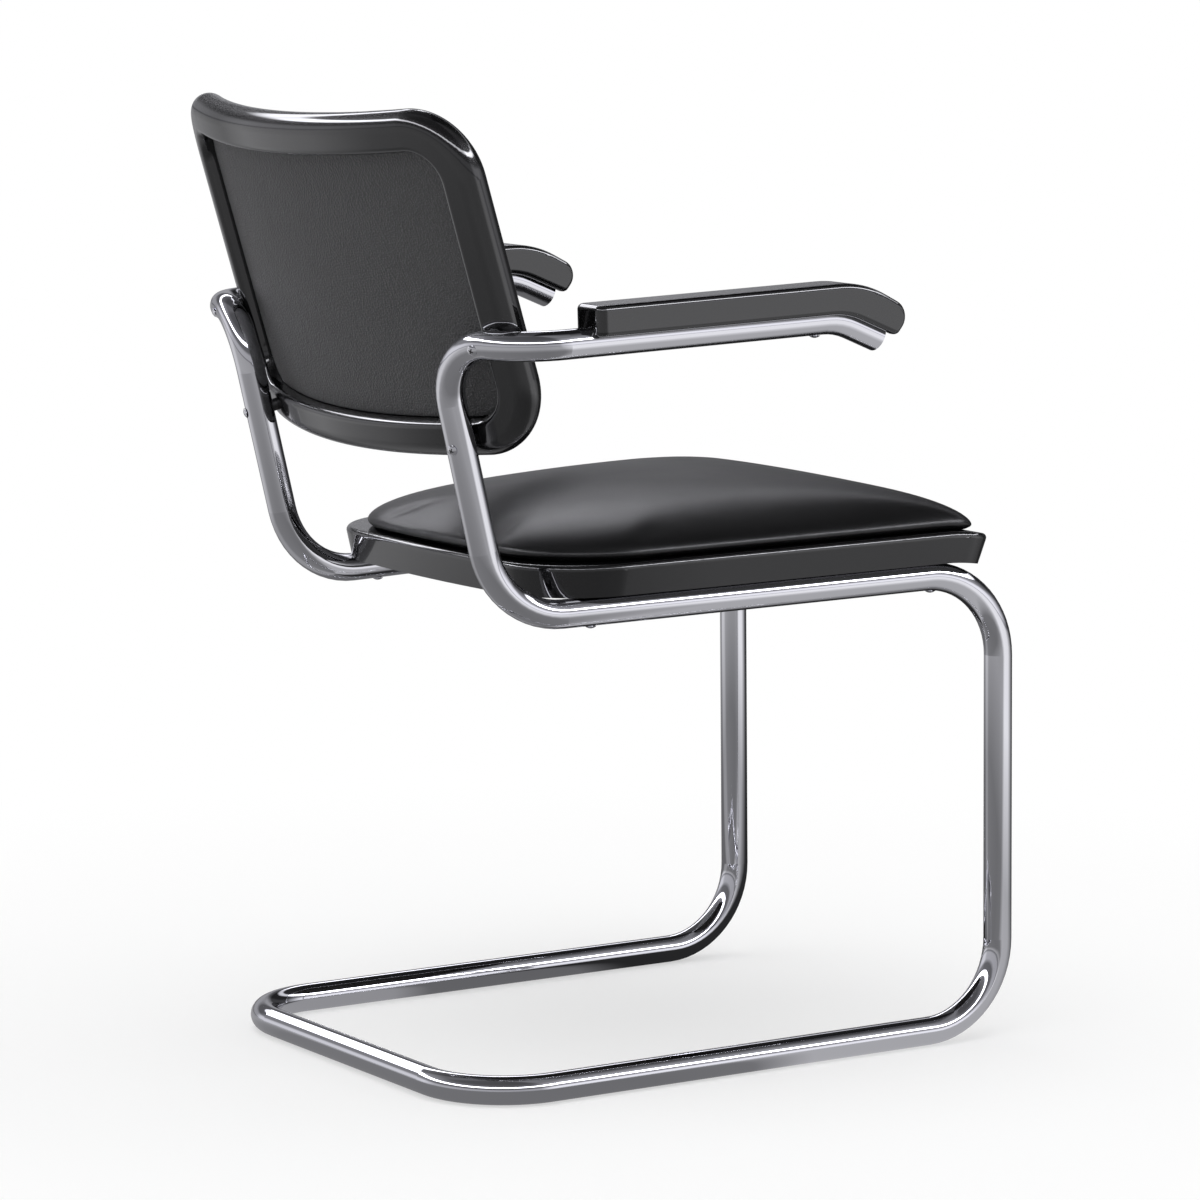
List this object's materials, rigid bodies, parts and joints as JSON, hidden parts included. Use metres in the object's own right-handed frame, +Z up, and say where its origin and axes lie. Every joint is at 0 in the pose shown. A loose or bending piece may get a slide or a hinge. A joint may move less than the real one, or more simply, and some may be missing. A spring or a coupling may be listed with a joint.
{
  "type": "cantilever_armchair",
  "caption": "Cantilever armchair: bent chromed steel tube, black lacquered wooden seat frame, back frame and armrests, black leather seat cushion and back",
  "frame": {"origin": "on the floor, under the middle of the chair's outer box", "axes": "+Z up; the sitter faces -Y, so the open front of the seat is at -Y and the back at +Y; +X is the sitter's left, and pieces named left lie at +X"},
  "size_m": [0.564, 0.6339, 0.8359],
  "materials": {
    "chromed_tube": "polished",
    "chromed_screw": "polished",
    "black_lacquered_beech": "gloss lacquer",
    "bare_beech": "bare",
    "plywood": "bare",
    "black_leather": "semi-gloss",
    "back_leather": "matt, fine grain",
    "black_plastic": "matt",
    "plated_steel": "zinc plated"
  },
  "bodies": {
    "root": {"armrest_left": "black_lacquered_beech", "armrest_right": "black_lacquered_beech", "armrest_screws": "chromed_screw", "back_bottom_rail": "black_lacquered_beech", "back_frame_dowels": "bare_beech", "back_front_board": "plywood", "back_front_pad": "black_leather", "back_inserts": "plated_steel", "back_left_stile": "black_lacquered_beech", "back_lower_screws": "chromed_screw", "back_rear_board": "plywood", "back_rear_leather": "back_leather", "back_right_stile": "black_lacquered_beech", "back_sleeves": "black_plastic", "back_top_rail": "black_lacquered_beech", "back_upper_screws": "chromed_screw", "seat_board": "plywood", "seat_cushion": "black_leather", "seat_frame_dowels": "bare_beech", "seat_frame_front_rail": "black_lacquered_beech", "seat_frame_left_rail": "black_lacquered_beech", "seat_frame_rear_rail": "black_lacquered_beech", "seat_frame_right_rail": "black_lacquered_beech", "seat_inserts": "plated_steel", "seat_screws": "chromed_screw", "tube_frame": "chromed_tube", "tube_plug_left": "black_plastic", "tube_plug_right": "black_plastic"}
  },
  "joints": []
}
